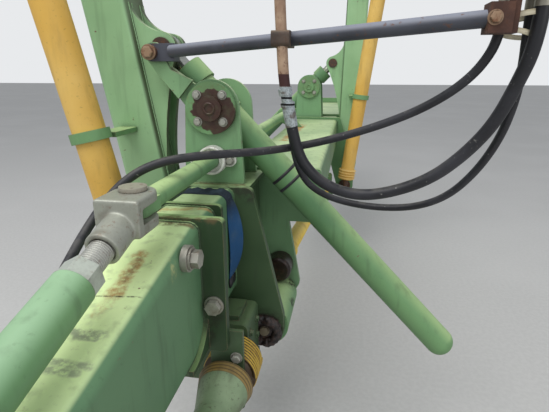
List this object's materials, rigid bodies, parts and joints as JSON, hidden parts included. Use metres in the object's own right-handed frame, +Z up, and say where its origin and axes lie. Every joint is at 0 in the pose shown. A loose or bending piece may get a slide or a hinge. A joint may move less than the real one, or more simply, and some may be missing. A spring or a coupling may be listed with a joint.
{
  "type": "rotary rake main frame with folding booms",
  "caption": "Main frame of a towed twin-rotor rake, rotor booms folded up, with lift cylinders, steering linkage and rotor drive shafts.",
  "frame": {"origin": "centre of the front flange, on its front face", "axes": "+Y runs back along the machine, +X to its right side as seen from the front end, +Z up"},
  "size_m": [1.2403, 3.918, 1.5513],
  "materials": {
    "green_paint": "semi-gloss, worn",
    "zinc": "dull galvanised",
    "yellow_guard": "weathered",
    "orange_bellows": "weathered",
    "bare_steel": "greasy",
    "black_bar": "worn",
    "hose_rubber": "dusty",
    "blue_webbing": "woven",
    "rusty_steel": "rusty"
  },
  "bodies": {
    "frame": {"arm_bolt": "rusty_steel", "clamp_bolts": "zinc", "collar": "green_paint", "drive_bellows": "orange_bellows", "fold_pins": "bare_steel", "front_beam": "green_paint", "front_flange": "green_paint", "front_gearbox": "green_paint", "front_joint_yoke": "bare_steel", "guide_ring": "zinc", "hose_arm": "black_bar", "hose_couplings": "zinc", "hose_post": "rusty_steel", "input_guard": "yellow_guard", "link_bearing": "green_paint", "link_guard": "yellow_guard", "lower_hose": "hose_rubber", "middle_hose": "hose_rubber", "neck_rib": "green_paint", "pipe_clamp": "bare_steel", "pivot_tube": "green_paint", "rear_beam": "green_paint", "rear_flange": "green_paint", "rear_gearbox": "green_paint", "rear_guide": "green_paint", "rear_joint_yoke": "bare_steel", "rear_webs": "green_paint", "shaft_bracket": "green_paint", "strap": "blue_webbing", "thin_pipes": "rusty_steel", "tower_box": "green_paint", "tower_front_web": "green_paint", "tower_rear_web": "green_paint", "trunnion_bearings": "green_paint", "upper_hose": "hose_rubber", "uprights": "green_paint"},
    "front_boom": {"front_boom": "green_paint", "front_ram_pin": "bare_steel", "front_boom_shaft": "bare_steel", "front_shaft_guard": "yellow_guard", "front_shaft_clips": "green_paint"},
    "front_barrel": {"front_lift_barrel": "green_paint"},
    "front_ram": {"front_lift_ram": "bare_steel"},
    "rear_boom": {"rear_boom": "green_paint", "rear_ram_pin": "bare_steel", "rear_boom_shaft": "bare_steel", "rear_shaft_guard": "yellow_guard", "rear_shaft_clips": "green_paint"},
    "rear_barrel": {"rear_lift_barrel": "green_paint"},
    "rear_ram": {"rear_lift_ram": "bare_steel"},
    "steering": {"steering_rod": "green_paint"},
    "turnbuckle": {"clevis": "zinc", "clevis_pin": "zinc", "turnbuckle": "green_paint", "turnbuckle_rod": "zinc", "lock_nut": "zinc"},
    "input_shaft": {"input_shaft": "bare_steel"}
  },
  "joints": [
    {"name": "front_boom_fold", "type": "hinge", "parent": "frame", "child": "front_boom", "pos_m": [-0.137, 0.905, -0.2], "axis": [0, -1, 0], "range_deg": [0, 84]},
    {"name": "front_barrel_swing", "type": "hinge", "parent": "frame", "child": "front_barrel", "pos_m": [0, 0.905, 0.376], "axis": [0, -1, 0], "range_deg": [0, 76.67]},
    {"name": "front_ram_slide", "type": "slide", "parent": "front_barrel", "child": "front_ram", "axis": [-0.6916, 0, 0.7223], "range_m": [0, 0.79045]},
    {"name": "rear_boom_fold", "type": "hinge", "parent": "frame", "child": "rear_boom", "pos_m": [0.318, 2.505, -0.2], "axis": [0, 1, 0], "range_deg": [0, 88]},
    {"name": "rear_barrel_swing", "type": "hinge", "parent": "frame", "child": "rear_barrel", "pos_m": [0.084, 2.505, 0.376], "axis": [0, 1, 0], "range_deg": [0, 70.88]},
    {"name": "rear_ram_slide", "type": "slide", "parent": "rear_barrel", "child": "rear_ram", "axis": [0.7033, 0, 0.7109], "range_m": [0, 0.85376]},
    {"name": "steering_slide", "type": "slide", "parent": "frame", "child": "steering", "axis": [0, 1, 0], "range_m": [-0.06, 0.06]},
    {"name": "turnbuckle_swing", "type": "hinge", "parent": "steering", "child": "turnbuckle", "pos_m": [0, 0.412, 0.25], "axis": [0, 0, 1], "range_deg": [-12, 12]},
    {"name": "input_spin", "type": "hinge", "parent": "frame", "child": "input_shaft", "pos_m": [0.1, 0.3, -0.18], "axis": [0, 1, 0], "continuous": true}
  ],
  "couplings": [
    {"joint": "front_barrel_swing", "follows": "front_boom_fold", "ratio": 0.91265},
    {"joint": "front_ram_slide", "follows": "front_boom_fold", "m_per_rad": 0.53909},
    {"joint": "rear_barrel_swing", "follows": "rear_boom_fold", "ratio": 0.80534},
    {"joint": "rear_ram_slide", "follows": "rear_boom_fold", "m_per_rad": 0.55581}
  ]
}
